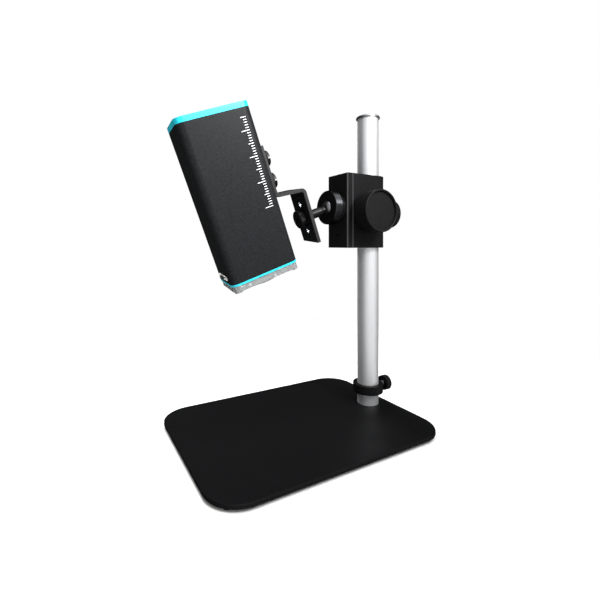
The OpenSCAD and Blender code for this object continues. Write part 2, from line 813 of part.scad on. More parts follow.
module shaft_bushes() {
    color("#1c1c1d") at_drive()
        for (side = [0, 1]) mirror([side, 0, 0]) difference() {
            union() {
                along_x(block_w / 2, boss_end, boss_d);
                along_x(bush_in, block_w / 2, bush_spigot_d);
            }
            along_x(0, boss_end + cut, shaft_d + 2 * run_gap);
        }
}

// Focus knob: a drum with a rounded rim, a dished face and a grub screw from below
module focus_knob() {
    rim_r = rim_w / 2;
    color("#1b1b1c") at_drive() difference() {
        translate([knob_in, 0, 0]) rotate([0, 90, 0]) rotate_extrude() {
            square([knob_d / 2, knob_l - dish_depth]);
            translate([knob_d / 2 - rim_w, 0]) square([rim_w, knob_l - rim_r]);
            translate([knob_d / 2 - rim_r, knob_l - rim_r]) circle(rim_r);
        }
        along_x(0, knob_in + knob_bore_l, shaft_d + 2 * fit_gap);
        translate([knob_in + knob_bore_l / 2, 0, -knob_d]) cylinder(h = knob_d, d = grub_d + 2 * fit_gap);
    }
}
// Collar that keeps the shaft in place on the other side
module shaft_collar() {
    color("#1c1c1d") at_drive() mirror([1, 0, 0]) difference() {
        union() {
            along_x(knob_in, collar_out - edge_break, shaft_collar_d);
            along_x(collar_out - edge_break, collar_out, shaft_collar_d, shaft_collar_d - 2 * edge_break);
        }
        along_x(0, collar_out + cut, shaft_d + 2 * fit_gap);
        translate([(knob_in + collar_out) / 2, 0, -shaft_collar_d])
            cylinder(h = shaft_collar_d, d = grub_d + 2 * fit_gap);
    }
}
module grub_screws() {
    color("#77787a") at_drive()
        for (x = [-(knob_in + collar_out) / 2, knob_in + knob_bore_l / 2])
            translate([x, 0, -shaft_d / 2 - fit_gap])
                mirror([0, 0, 1]) difference() {
                    cylinder(h = grub_l, d = grub_d);
                    translate([0, 0, grub_l]) hex_socket(grub_d, grub_d);
                }
}

// Slide plate with its dovetail, the rack in its back and the gib beside it
module slide_plate() {
    color("#1d1d1e") at_carriage() difference() {
        translate([0, 0, -block_h / 2]) linear_extrude(block_h) difference() {
            polygon([
                [-back_r, -slide_back], [-back_r, block_chamfer - slide_face],
                [block_chamfer - back_r, -slide_face], [back_r - block_chamfer, -slide_face],
                [back_r, block_chamfer - slide_face], [back_r, -slide_back],
                [tail_half(slide_back), -slide_back], [tail_half(tail_back), -tail_back],
                [-tail_half(tail_back), -tail_back], [-tail_half(slide_back), -slide_back]
            ]);
            translate([-rack_w / 2 - fit_gap, -rack_back]) square([rack_w + 2 * fit_gap, rack_slot + cut]);
        }
        translate([0, 0, ball_rise]) {
            along_y(-slide_face - cut, spigot_l - slide_face, spigot_d + 2 * fit_gap);
            along_y(-slide_face, 0, socket_screw_d + 2 * fit_gap);
        }
        translate([0, 0, -rack_screw_drop]) {
            along_y(-slide_face - cut, rack_screw_sink + rack_screw_head_h - slide_face,
                rack_screw_head_d + 2 * fit_gap);
            along_y(-slide_face, 0, rack_screw_d + 2 * fit_gap);
        }
    }
}
module focus_rack() {
    half = (tooth_pitch - backlash) / 4;
    half_tip = half - tooth_tip * tan(pressure_angle);
    half_root = half + tooth_root * tan(pressure_angle);
    tip_y = tooth_tip - rack_line;
    root_y = -tooth_root - rack_line;
    bite_y = rack_bite + fit_gap - rack_back;
    color("#b79a56") at_carriage() difference() {
        translate([-rack_w / 2, 0, -drive_drop]) rotate([90, 0, 90]) linear_extrude(rack_w) polygon([
            [-rack_back, rack_l / 2], [-rack_back, -rack_l / 2], [root_y, -rack_l / 2],
            for (k = [0 : rack_teeth - 1]) let (z = (k + 0.5 - rack_teeth / 2) * tooth_pitch)
                each [
                    [root_y, z - half_root], [tip_y, z - half_tip],
                    [tip_y, z + half_tip], [root_y, z + half_root]
                ],
            [root_y, rack_l / 2]
        ]);
        translate([0, 0, ball_rise]) along_y(-slide_face, bite_y, socket_screw_d + 2 * fit_gap);
        translate([0, 0, -rack_screw_drop]) along_y(-slide_face, bite_y, rack_screw_d + 2 * fit_gap);
    }
}
module rack_screw() {
    head_y = rack_screw_sink - slide_face;
    color("#2a2a2b") at_carriage() translate([0, 0, -rack_screw_drop]) difference() {
        union() {
            along_y(head_y, head_y + rack_screw_head_h, rack_screw_head_d);
            along_y(head_y, rack_bite - rack_back, rack_screw_d);
        }
        translate([0, head_y, 0]) rotate([90, 0, 0]) hex_socket(rack_screw_d, rack_screw_head_h);
    }
}
module gib_strip() {
    front_y = block_front - fit_gap;
    back_y = groove_back + fit_gap;
    near = run_gap + fit_gap;
    far = run_gap + gib_t - fit_gap;
    color("#b79a56") at_carriage() translate([0, 0, -block_h / 2]) linear_extrude(block_h)
        polygon([
            [-tail_half(front_y) - near, -front_y], [-tail_half(back_y) - near, -back_y],
            [-tail_half(back_y) - far, -back_y], [-tail_half(front_y) - far, -front_y]
        ]);
}
module gib_screws() {
    end_x = block_w / 2 - gib_screw_sink;
    color("#77787a") at_carriage()
        for (z = [-1, 1])
            translate([0, -gib_y, z * gib_screw_rise]) difference() {
                along_x(-end_x, -gib_x, gib_screw_d);
                translate([-end_x, 0, 0]) rotate([0, -90, 0]) hex_socket(gib_screw_d, gib_screw_d);
            }
}

// Ball joint: socket, seat, lock ring, ball and stem
module ball_socket() {
    color("#161617") at_ball() difference() {
        union() {
            ahead(-spigot_end, -ball_out, spigot_d);
            ahead(-ball_out, -socket_step, socket_d);
            ahead(-socket_step, neck_front, socket_neck_d);
        }
        ahead(-socket_floor, neck_front + cut, 2 * socket_bore_r);
        ahead(-spigot_end - cut, 0, socket_screw_d + 2 * fit_gap);
    }
}
module socket_screw() {
    color("#77787a") at_ball() difference() {
        union() {
            ahead(-socket_floor, socket_screw_head_h - socket_floor, socket_screw_head_d);
            ahead(rack_back - rack_bite - ball_y, -socket_floor, socket_screw_d);
        }
        translate([0, socket_floor - socket_screw_head_h, 0]) rotate([90, 0, 0])
            hex_socket(socket_screw_d, socket_screw_head_h);
    }
}
module ball_seat() {
    color("#e3e1da") at_ball() difference() {
        ahead(fit_gap - socket_floor, -seat_front, 2 * seat_r);
        ahead(-socket_floor, 0, socket_screw_head_d + 4 * pass_gap);
        sphere(cup_r);
    }
}
module lock_ring() {
    back = ring_front - ring_l;
    color("#121213") at_ball() difference() {
        union() {
            ahead(back, back + edge_break, ring_d - 2 * edge_break, ring_d);
            ahead(back + edge_break, ring_front - edge_break, ring_d);
            ahead(ring_front - edge_break, ring_front, ring_d, ring_d - 2 * edge_break);
        }
        ahead(back - cut, neck_front + pass_gap, socket_neck_d + 2 * run_gap);
        ahead(0, ring_front + cut, mouth_d);
        sphere(cup_r);
    }
}
module ball() {
    color("#141415") at_stem() difference() {
        sphere(ball_r);
        ahead(ball_r - tenon_l, ball_r + cut, tenon_d + 2 * fit_gap);
    }
}
module ball_stem() {
    color("#141415") at_stem() difference() {
        union() {
            difference() {
                ahead(0, neck_l, neck_d);
                sphere(ball_r);
            }
            ahead(ball_r - tenon_l + fit_gap, neck_l, tenon_d);
            ahead(neck_l, neck_l + neck_taper, neck_d, stem_d);
            ahead(neck_l + neck_taper, stem_l, stem_d);
        }
        ahead(stem_l - stem_hole_l, stem_l + cut, stem_screw_d + 2 * run_gap);
    }
}

// Bracket: one bent strip from the head's side to the stem
bend_steps = 12;
function arc(y, z, r, from, to) = [
    for (k = [0 : bend_steps]) let (a = from + (to - from) * k / bend_steps) [y + r * cos(a), z + r * sin(a)]
];
module bracket_outline() {
    near_y = -stem_l;
    far_y = -head_gap;
    near_mid = near_y - bend_r;
    far_mid = far_y + bend_r;
    inner_r = bend_r - bracket_t;
    turn = 90 - web_slope;
    polygon(concat(
        // Free flange at the stem, then over the web to the flange on the head
        [[near_y, -flange_drop]],
        arc(near_mid, near_bend_z, bend_r, 0, turn),
        arc(far_mid, far_bend_z, inner_r, 180 + turn, 180),
        [[far_y + bracket_t, bracket_top], [far_y, bracket_top]],
        // Back along the underside
        arc(far_mid, far_bend_z, bend_r, 180, 180 + turn),
        arc(near_mid, near_bend_z, inner_r, turn, 0),
        [[near_y - bracket_t, -flange_drop]]
    ));
}
module bracket() {
    color("#202021") at_stem() difference() {
        translate([-bracket_w / 2, 0, 0]) rotate([90, 0, 90]) linear_extrude(bracket_w) bracket_outline();
        ahead(stem_l - cut, stem_l + bracket_t + cut, stem_screw_d + 2 * run_gap);
        for (z = [-1, 1])
            translate([0, 0, z * hole_pitch]) ahead(stem_l - cut, stem_l + bracket_t + cut, hole_d);
        for (z = [screw_rise, screw_top])
            translate([0, 0, z])
                ahead(head_gap - bracket_t - cut, head_gap + cut, head_screw_d + 2 * run_gap);
    }
}
module stem_screw() {
    seat = stem_l + bracket_t + washer_t;
    end = seat + stem_screw_head_h;
    color("#18181a") at_stem() difference() {
        union() {
            ahead(stem_l - stem_hole_l + tip_gap, seat, stem_screw_d);
            ahead(seat, end - edge_break, stem_screw_head_d);
            ahead(end - edge_break, end, stem_screw_head_d, stem_screw_head_d - 2 * edge_break);
        }
        translate([0, -end, 0]) rotate([90, 0, 0]) hex_socket(stem_screw_d, stem_screw_head_h);
    }
}
module stem_washer() {
    seat = stem_l + bracket_t;
    color("#5c5d5f") at_stem() difference() {
        ahead(seat, seat + washer_t, washer_d);
        ahead(stem_l, seat + washer_t + cut, stem_screw_d + 2 * run_gap);
    }
}
// Thumb screw with a coin slot, through the bracket into the head
module thumb_screw(z) {
    seat = head_gap - bracket_t;
    face = seat - head_screw_head_h;
    color("#19191a") at_stem() translate([0, 0, z]) difference() {
        union() {
            ahead(face, face + edge_break, head_screw_head_d - 2 * edge_break, head_screw_head_d);
            ahead(face + edge_break, seat, head_screw_head_d);
            ahead(seat, head_gap + insert_l - tip_gap, head_screw_d);
        }
        translate([-head_screw_head_d, -face - coin_slot_depth, -coin_slot_w / 2])
            cube([2 * head_screw_head_d, coin_slot_depth + cut, coin_slot_w]);
    }
}
module thumb_screw_upper() {
    thumb_screw(screw_top);
}
module thumb_screw_lower() {
    thumb_screw(screw_rise);
}
module screw_inserts() {
    color("#b79a56") at_stem()
        for (z = [screw_rise, screw_top])
            translate([0, 0, z]) difference() {
                ahead(head_gap, head_gap + insert_l, insert_d);
                ahead(head_gap - cut, head_gap + insert_l + cut, head_screw_d + 2 * run_gap);
            }
}

// Head: extruded body with screw columns in its corners and guides for the main board
module body_outline() {
    difference() {
        union() {
            difference() {
                rounded_outline(head_w, head_d, head_r);
                rounded_outline(inner_w, inner_d, max(head_r - wall, wall / 4));
            }
            intersection() {
                rounded_outline(head_w, head_d, head_r);
                at_corners(0) circle(column_r);
            }
        }
        at_corners(0) circle(d = corner_screw_d + 2 * fit_gap);
    }
}
module body_shell() {
    guide_x = board_t / 2 + fit_gap + guide_w / 2;
    rib_h = guide_h + wall / 2;
    color("#232425") difference() {
        at_head() {
            translate([0, 0, body_end]) linear_extrude(body_l) body_outline();
            for (x = [-1, 1], y = [-1, 1])
                translate([x * guide_x - board_x, y * (inner_d / 2 - guide_h + rib_h / 2), board_mid])
                    cube([guide_w, rib_h, board_l], center = true);
        }
        at_head() for (z = [screw_rise, screw_top])
            translate([0, 0, z]) along_y(inner_d / 2 - guide_h, head_d / 2 + cut, insert_d + 2 * fit_gap);
        at_slider() translate([0, 0, -cut]) linear_extrude(wall + 2 * cut)
            pill(slider_bezel_l - bezel_rim + 2 * fit_gap, slider_bezel_h - bezel_rim + 2 * fit_gap);
    }
}
module top_cap() {
    color("#2bd9ea") at_head() difference() {
        translate([0, 0, body_top]) linear_extrude(cap_h) rounded_outline(head_w, head_d, head_r);
        at_corners(body_top - cut) cylinder(h = cap_h + 2 * cut, d = corner_screw_d + 2 * fit_gap);
        at_corners(head_rise - corner_head_h)
            cylinder(h = corner_head_h + cut, d = corner_head_d + 2 * fit_gap);
        translate([usb_x, 0, body_top - cut]) linear_extrude(cap_h + 2 * cut)
            rotate(90) pill(usb_w + 2 * pass_gap, usb_h + 2 * pass_gap);
    }
}
module corner_screw(l) {
    difference() {
        union() {
            translate([0, 0, -corner_head_h]) cylinder(h = corner_head_h, d = corner_head_d);
            translate([0, 0, -l]) cylinder(h = l, d = corner_screw_d);
        }
        hex_socket(corner_screw_d, corner_head_h);
    }
}
module cap_screws() {
    color("#3c3d3f") at_head() at_corners(head_rise) corner_screw(cap_screw_l);
}

// Lens end: bezel, clear hood and its screws
module lower_bezel() {
    color("#2bd9ea") at_head() translate([0, 0, bezel_end]) linear_extrude(bezel_h) difference() {
        rounded_outline(head_w, head_d, head_r);
        square([window_w, window_l], center = true);
        at_corners(0) circle(d = corner_screw_d + 2 * fit_gap);
    }
}
module clear_hood() {
    nozzle_end = hood_end - nozzle_h;
    foot_end = hood_end - hood_foot;
    color("#d3d7d9", 0.55) at_head() difference() {
        union() {
            translate([0, 0, hood_end]) linear_extrude(hood_t)
                rounded_outline(head_w - 2 * hood_inset, head_d - 2 * hood_inset, head_r - hood_inset);
            at_corners(foot_end) cylinder(h = hood_t + hood_foot, r = column_r);
            translate([0, 0, nozzle_end + edge_break])
                cylinder(h = nozzle_h + hood_t - edge_break, d = nozzle_d);
            translate([0, 0, nozzle_end])
                cylinder(h = edge_break, d1 = nozzle_d - 2 * edge_break, d2 = nozzle_d);
        }
        translate([0, 0, nozzle_end - cut])
            cylinder(h = hood_t + nozzle_h + 2 * cut, d = barrel_d + 2 * pass_gap);
        at_corners(foot_end - cut) {
            cylinder(h = hood_t + hood_foot + 2 * cut, d = corner_screw_d + 2 * fit_gap);
            cylinder(h = corner_head_h + cut, d = corner_head_d + 2 * fit_gap);
        }
    }
}
module hood_screws() {
    color("#2f3032") at_head() at_corners(hood_end - hood_foot) mirror([0, 0, 1]) corner_screw(hood_screw_l);
}

// Lamp board over the bezel's window, with its lamps underneath
module lamp_board() {
    color("#e8e8e4") at_head() translate([0, 0, body_end]) linear_extrude(lamp_board_t) difference() {
        square([window_w + 2 * lamp_board_lap, window_l + 2 * lamp_board_lap], center = true);
        circle(d = barrel_d + 2 * lamp_board_gap);
    }
}
module lamps() {
    color("#f4efc9") at_head()
        for (x = [-1, 0, 1], y = [-1, 1])
            translate([x * lamp_pitch, y * lamp_row, body_end - lamp_h / 2])
                cube([lamp_w, lamp_w, lamp_h], center = true);
}

// Lens holder on four legs, and the lens barrel in it
module lens_holder() {
    color("#2a2b2d") at_head() translate([0, 0, body_end]) {
        translate([0, 0, holder_z]) linear_extrude(holder_t) difference() {
            square([inner_w - 2 * pass_gap, 2 * (corner_y - column_r - pass_gap)], center = true);
            circle(d = barrel_d + 2 * fit_gap);
        }
        for (x = [-1, 1], y = [-1, 1])
            translate([x * leg_x, y * leg_l, holder_z / 2]) cube([leg_w, leg_l, holder_z], center = true);
    }
}
module lens_barrel() {
    well = sensor_t + sensor_room;
    color("#1a1a1b") at_head() translate([0, 0, barrel_base]) difference() {
        cylinder(h = barrel_l, d = barrel_d);
        translate([0, 0, -cut])
            cylinder(h = front_lens_sink + front_lens_t + cut, d = front_lens_d + 2 * fit_gap);
        cylinder(h = rear_lens_z + cut, d = rear_lens_d - 2 * lens_ledge);
        translate([0, 0, rear_lens_z]) cylinder(h = barrel_l, d = rear_lens_d + 2 * fit_gap);
        translate([0, 0, barrel_l - well])
            cylinder(h = well + cut, d = norm([sensor_w, sensor_l]) + sensor_room);
    }
}
// A lens with a dome below and a flat face on top
module lens(d, t, sag) {
    r = (d * d / 4 + sag * sag) / (2 * sag);
    intersection() {
        cylinder(h = t, d = d);
        translate([0, 0, r]) sphere(r);
    }
}
module front_lens() {
    color("#9fb6c9", 0.5) at_head() translate([0, 0, barrel_base + front_lens_sink])
        lens(front_lens_d, front_lens_t, front_lens_sag);
}
module rear_lens() {
    color("#9fb6c9", 0.5) at_head() translate([0, 0, barrel_base + rear_lens_z + rear_lens_t])
        mirror([0, 0, 1]) lens(rear_lens_d, rear_lens_t, rear_lens_sag);
}

// Sensor board on the barrel, joined by a ribbon cable to the main board
module sensor_board() {
    color("#1f5a38") at_head() translate([0, 0, barrel_top + board_t / 2])
        cube([sensor_board_w, sensor_board_w, board_t], center = true);
}
module image_sensor() {
    color("#3b3550") at_head() translate([0, 0, barrel_top - sensor_t / 2])
        cube([sensor_w, sensor_l, sensor_t], center = true);
}
module ribbon_cable() {
    color("#c98a2b") at_head() translate([board_face, -cable_w / 2, cable_z]) {
        cube([board_x, cable_w, cable_t]);
        cube([cable_t, cable_w, board_end - cable_z + cable_lap]);
    }
}
module main_board() {
    color("#1f5a38") at_head() translate([-board_x, 0, board_mid])
        cube([board_t, inner_d - 2 * pass_gap, board_l], center = true);
}
module processor() {
    color("#2b2b2d") at_head() translate([board_face + chip_t / 2, 0, board_mid])
        cube([chip_t, chip_w, chip_w], center = true);
}
module usb_socket() {
    color("#b9babc") at_head() translate([usb_x, 0, head_rise - usb_recess - usb_l]) {
        difference() {
            linear_extrude(usb_l) rotate(90) pill(usb_w, usb_h);
            translate([0, 0, 2 * usb_wall]) linear_extrude(usb_l)
                rotate(90) pill(usb_w - 2 * usb_wall, usb_h - 2 * usb_wall);
        }
        translate([-tongue_t / 2, -tongue_w / 2, usb_wall]) cube([tongue_t, tongue_w, usb_l - 2 * usb_wall]);
    }
}

// Lamp slider: white bezel in the body's wall, grip outside and slider unit inside
module slider_bezel() {
    color("#f1f1ee") at_slider() difference() {
        union() {
            translate([0, 0, -bezel_proud]) linear_extrude(bezel_proud) pill(slider_bezel_l, slider_bezel_h);
            linear_extrude(wall) pill(slider_bezel_l - bezel_rim, slider_bezel_h - bezel_rim);
        }
        translate([0, 0, -bezel_proud - cut]) linear_extrude(bezel_proud + wall + 2 * cut)
            pill(slot_l, slot_h);
    }
}
module lamp_slider() {
    grip_z = -bezel_proud - pass_gap - grip_proud;
    color("#6c6d6f") at_slider() {
        translate([-slider_grip_l / 2, -slider_grip_h / 2, grip_z])
            cube([slider_grip_l, slider_grip_h, grip_proud]);
        translate([-slider_neck_l / 2, pass_gap - slot_h / 2, grip_z])
            cube([slider_neck_l, slot_h - 2 * pass_gap, wall + unit_t / 2 - grip_z]);
    }
}
module slider_unit() {
    room_l = 2 * slider_travel + slider_neck_l + 2 * pass_gap;
    unit_l = room_l + 2 * unit_wall;
    color("#2f3136") at_slider() translate([0, 0, wall]) difference() {
        translate([-unit_l / 2, -slider_bezel_h / 2, 0]) cube([unit_l, slider_bezel_h, unit_t]);
        translate([-room_l / 2, -slot_h / 2, -cut]) cube([room_l, slot_h, unit_t - unit_wall + cut]);
    }
}

base_plate();
rubber_feet();
post();
foot_plug();
post_screw();
post_cap();
stop_collar();
collar_thumb_screw();
post_bush();
focus_block();
lock_knob();
lock_screw();
lock_pad();
pinion_shaft();
shaft_bushes();
focus_knob();
shaft_collar();
grub_screws();
slide_plate();
focus_rack();
rack_screw();
gib_strip();
gib_screws();
ball_socket();
socket_screw();
ball_seat();
lock_ring();
ball();
ball_stem();
bracket();
stem_screw();
stem_washer();
thumb_screw_upper();
thumb_screw_lower();
screw_inserts();
body_shell();
top_cap();
cap_screws();
lower_bezel();
clear_hood();
hood_screws();
lamp_board();
lamps();
lens_holder();
lens_barrel();
front_lens();
rear_lens();
sensor_board();
image_sensor();
ribbon_cable();
main_board();
processor();
usb_socket();
slider_bezel();
lamp_slider();
slider_unit();
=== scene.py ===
import json
import math

import bmesh
import bpy
from mathutils import Matrix, Vector


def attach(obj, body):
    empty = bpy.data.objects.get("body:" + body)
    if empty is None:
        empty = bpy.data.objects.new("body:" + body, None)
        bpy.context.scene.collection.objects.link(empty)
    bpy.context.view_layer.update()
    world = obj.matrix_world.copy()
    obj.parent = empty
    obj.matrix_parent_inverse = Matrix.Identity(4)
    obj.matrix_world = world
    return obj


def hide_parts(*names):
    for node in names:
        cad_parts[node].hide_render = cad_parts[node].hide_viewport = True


mm = 0.001
scene = bpy.context.scene
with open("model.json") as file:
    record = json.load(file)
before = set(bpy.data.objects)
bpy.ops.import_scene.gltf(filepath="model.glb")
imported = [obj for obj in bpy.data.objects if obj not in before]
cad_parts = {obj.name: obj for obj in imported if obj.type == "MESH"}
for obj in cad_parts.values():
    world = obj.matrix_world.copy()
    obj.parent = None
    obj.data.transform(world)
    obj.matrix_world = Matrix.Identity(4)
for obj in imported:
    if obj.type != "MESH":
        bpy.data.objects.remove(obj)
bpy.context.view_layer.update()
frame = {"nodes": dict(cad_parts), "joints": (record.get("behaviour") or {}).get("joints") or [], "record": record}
joints = {joint["name"]: joint for joint in frame["joints"]}
bodies = frame["record"]["behaviour"]["bodies"]
bodyOf = {node: body for body, nodes in bodies.items() for node in nodes}
print("frame loaded with", len(frame["nodes"]), "nodes")

weld = 0.002 * mm  # corners nearer than this are one
rounding = {"coplanar": 0.6, "sharp": 40, "segments": 3, "weight": 80}  # angles in degrees
threadCut = {"turnSteps": 24, "share": 0.98}  # a ridge just under its pitch, so that turns don't meet


def linear(code):
    # sRGB hex to the linear colour that a shader takes
    parts = [int(code[i:i + 2], 16) / 255 for i in (1, 3, 5)]
    return tuple(c / 12.92 if c <= 0.04045 else ((c + 0.055) / 1.055) ** 2.4 for c in parts) + (1.0,)


def addNode(tree, kind, inputs=None, **settings):
    node = tree.nodes.new(kind)
    for key, value in settings.items():
        setattr(node, key, value)
    for key, value in (inputs or {}).items():
        if isinstance(value, bpy.types.NodeSocket):
            tree.links.new(value, node.inputs[key])
        else:
            node.inputs[key].default_value = value
    return node


def newMaterial(name, sockets):
    material = bpy.data.materials.new(name)
    material.use_nodes = True
    shader = material.node_tree.nodes["Principled BSDF"]
    for key, value in sockets.items():
        shader.inputs[key].default_value = value
    return material, material.node_tree, shader


def layFinish(tree, shader, look, shade, sheen, height):
    # two tones by shade, a range of roughness by sheen, and a bump by height
    colour = addNode(tree, "ShaderNodeMix", {
        0: shade, 6: linear(look["low"]), 7: linear(look["high"])}, data_type="RGBA")
    gloss = addNode(tree, "ShaderNodeMapRange", {
        "Value": sheen, "From Min": 0.3, "From Max": 0.7,
        "To Min": look["rough"][0], "To Max": look["rough"][1]})
    bump = addNode(tree, "ShaderNodeBump", {
        "Height": height, "Strength": 1.0, "Distance": look["depth"] * mm})
    tree.links.new(colour.outputs[2], shader.inputs["Base Color"])
    tree.links.new(gloss.outputs["Result"], shader.inputs["Roughness"])
    tree.links.new(bump.outputs["Normal"], shader.inputs["Normal"])


def coat(name, look):
    # a coloured skin: grit in tone and bump, and slow clouds in the gloss
    material, tree, shader = newMaterial(name, look["sockets"])
    place = addNode(tree, "ShaderNodeTexCoord").outputs["Object"]
    grit = addNode(tree, "ShaderNodeTexNoise", {
        "Vector": place, "Scale": 1 / (look["grit"] * mm), "Detail": 3.0, "Roughness": 0.6}).outputs["Fac"]
    cloud = addNode(tree, "ShaderNodeTexNoise", {
        "Vector": place, "Scale": 1 / (look["cloud"] * mm), "Detail": 4.0, "Roughness": 0.55}).outputs["Fac"]
    tone = addNode(tree, "ShaderNodeMapRange", {"Value": grit, "From Min": 0.32, "From Max": 0.68})
    layFinish(tree, shader, look, tone.outputs["Result"], cloud, grit)
    return material


def metal(name, look):
    # bare metal: fine lines along one axis in tone, gloss and bump
    material, tree, shader = newMaterial(name, look["sockets"])
    place = addNode(tree, "ShaderNodeTexCoord").outputs["Object"]
    drawn = addNode(tree, "ShaderNodeMapping", {"Vector": place, "Scale": look["stretch"]}).outputs["Vector"]
    lines = addNode(tree, "ShaderNodeTexNoise", {
        "Vector": drawn, "Scale": 1 / (look["line"] * mm), "Detail": 3.0, "Roughness": 0.65}).outputs["Fac"]
    layFinish(tree, shader, look, lines, lines, lines)
    return material


def dress(material, *nodes):
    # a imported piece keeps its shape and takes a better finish
    for node in nodes:
        mesh = frame["nodes"][node].data
        mesh.materials.clear()
        mesh.materials.append(material)


def newPiece(name, bm, materials, node, smooth=True):
    mesh = bpy.data.meshes.new(name)
    for face in bm.faces:
        face.smooth = smooth
    bm.to_mesh(mesh)
    bm.free()
    for material in materials:
        mesh.materials.append(material)
    piece = bpy.data.objects.new(name, mesh)
    scene.collection.objects.link(piece)
    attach(piece, bodyOf[node])
    return piece


def softened(look, *materials, second=None, third=None):
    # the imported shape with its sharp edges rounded; second and third pick faces for the other materials
    bm = bmesh.new()
    bm.from_mesh(frame["nodes"][look["node"]].data)
    bmesh.ops.remove_doubles(bm, verts=bm.verts, dist=weld)
    bmesh.ops.dissolve_limit(bm, angle_limit=math.radians(rounding["coplanar"]), verts=bm.verts, edges=bm.edges)
    for index, picks in ((1, second), (2, third)):
        for face in bm.faces if picks else ():
            if picks(face):
                face.material_index = index
    piece = newPiece(look["name"], bm, materials, look["node"])
    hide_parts(look["node"])
    edge = piece.modifiers.new("edge", "BEVEL")
    edge.limit_method = "ANGLE"
    edge.angle_limit = math.radians(rounding["sharp"])
    edge.width = look["edge"] * mm
    edge.segments = rounding["segments"]
    edge.profile = 0.5
    flat = piece.modifiers.new("flat", "WEIGHTED_NORMAL")  # large faces stay flat beside their rounded edges
    flat.weight = rounding["weight"]


def spun(section, steps, place, knurl):
    # a closed section of (radius, height) turned about Y; its widest band carries small pyramids
    bm = bmesh.new()
    corners = [bm.verts.new((r * mm, h * mm, 0)) for r, h in section]
    edges = [bm.edges.new(pair) for pair in zip(corners, corners[1:] + corners[:1])]
    bmesh.ops.spin(bm, geom=corners + edges, cent=(0, 0, 0), axis=(0, 1, 0), angle=2 * math.pi, steps=steps,
                   use_merge=True)
    bmesh.ops.remove_doubles(bm, verts=bm.verts, dist=weld)
    bmesh.ops.recalc_face_normals(bm, faces=bm.faces)
    bandFrom = (max(r for r, h in section) - 0.01) * mm
    band = [f for f in bm.faces if all(math.hypot(v.co.x, v.co.z) > bandFrom for v in f.verts)]
    bmesh.ops.poke(bm, faces=band, offset=knurl * mm)
    bm.transform(place)
    return bm


def knurledSleeve(look, place, material):
    # a thin sleeve of small pyramids round a screw's head
    low, high = look["from"] + look["edge"], look["to"] - look["edge"]
    rim = look["outer"] - look["edge"]
    section = [(look["inner"], look["from"]), (rim, look["from"])]
    section += [(look["outer"], low + (high - low) * k / look["rows"]) for k in range(look["rows"] + 1)]
    section += [(rim, look["to"]), (look["inner"], look["to"])]
    bm = spun(section, look["steps"], place, look["knurl"])
    newPiece(look["name"], bm, [material], look["node"], smooth=False)


def thread(look, place, material):
    # one ridge wound along Y
    bm = bmesh.new()
    pitch = look["pitch"]
    ridge = [(look["root"], 0), (look["crest"], pitch / 2), (look["root"], pitch * threadCut["share"])]
    corners = [bm.verts.new((r * mm, (look["from"] + h) * mm, 0)) for r, h in ridge]
    edges = [bm.edges.new(pair) for pair in zip(corners, corners[1:] + corners[:1])]
    turns = (look["to"] - look["from"]) / pitch - 1
    steps = int(threadCut["turnSteps"] * turns)
    bmesh.ops.spin(bm, geom=corners + edges, cent=(0, 0, 0), axis=(0, 1, 0),
                   dvec=(0, pitch * mm * turns / steps, 0), angle=2 * math.pi * turns, steps=steps,
                   use_merge=False)
    bmesh.ops.holes_fill(bm, edges=[e for e in bm.edges if e.is_boundary], sides=4)
    bmesh.ops.recalc_face_normals(bm, faces=bm.faces)
    bm.transform(place)
    newPiece(look["name"], bm, [material], look["node"])


# Frame of the stem and the head: the ball is its origin, and the head lies along -Y
rest = {"swing": -8.5, "tilt": 20.5, "spin": 5, "headMiddle": 82.9}
stemPlace = Matrix.Translation(joints["stem_spin"]["pos_m"])
for turn, axis in (("swing", "Z"), ("tilt", "X"), ("spin", "Y")):
    stemPlace = stemPlace @ Matrix.Rotation(math.radians(rest[turn]), 4, axis)
headPlace = stemPlace @ Matrix.Translation((0, -rest["headMiddle"] * mm, 0))
stemX = stemPlace.to_3x3().col[0]

# Camera: level, at the photograph's place and angle
cameraLook = {"place": (276.88, -175.30, 157.52), "azimuth": 60.693, "lens": 22.76, "sensor": 36,
              "shift": (0.0360, -0.0931), "near": 10}
cameraData = bpy.data.cameras.new("studioCamera")
cameraData.sensor_width = cameraLook["sensor"]
cameraData.lens = cameraLook["lens"]
cameraData.shift_x, cameraData.shift_y = cameraLook["shift"]
cameraData.clip_start = cameraLook["near"] * mm
camera = bpy.data.objects.new("studioCamera", cameraData)
camera.location = Vector(cameraLook["place"]) * mm
camera.rotation_euler = (math.radians(90), 0, math.radians(cameraLook["azimuth"]))
scene.collection.objects.link(camera)
scene.camera = camera
print("camera placed")

# Polyester powder coat on sheet steel: a dull black with a fine orange peel that breaks up every reflection
powderCoat = coat("powderCoatedSteel", {
    "low": "#070708", "high": "#0d0d0e", "grit": 0.9, "cloud": 24, "depth": 0.03, "rough": (0.42, 0.52),
    "sockets": {"IOR": 1.5, "Specular IOR Level": 0.1}})
plate = {"name": "basePlate", "node": "base_plate", "slot": "plate_coat", "edge": 0.7}
softened(plate, powderCoat)

# Moulded rubber: near black, dull, with a slightly dusty skin
dress(coat("mouldedRubber", {
    "low": "#0f0f0f", "high": "#181817", "grit": 0.5, "cloud": 6, "depth": 0.02, "rough": (0.75, 0.88),
    "sockets": {"IOR": 1.5, "Specular IOR Level": 0.2}}), "rubber_feet")
print("base finished")

# Drawn aluminium tube, satin anodised: soft bright bands with hair lines along its length
postMetal = metal("anodisedAluminium", {
    "low": "#c9cacc", "high": "#dadbdd", "line": 0.35, "stretch": (1.0, 1.0, 0.015), "depth": 0.0006,
    "rough": (0.36, 0.42), "sockets": {"Metallic": 0.7}})
dress(postMetal, "post")
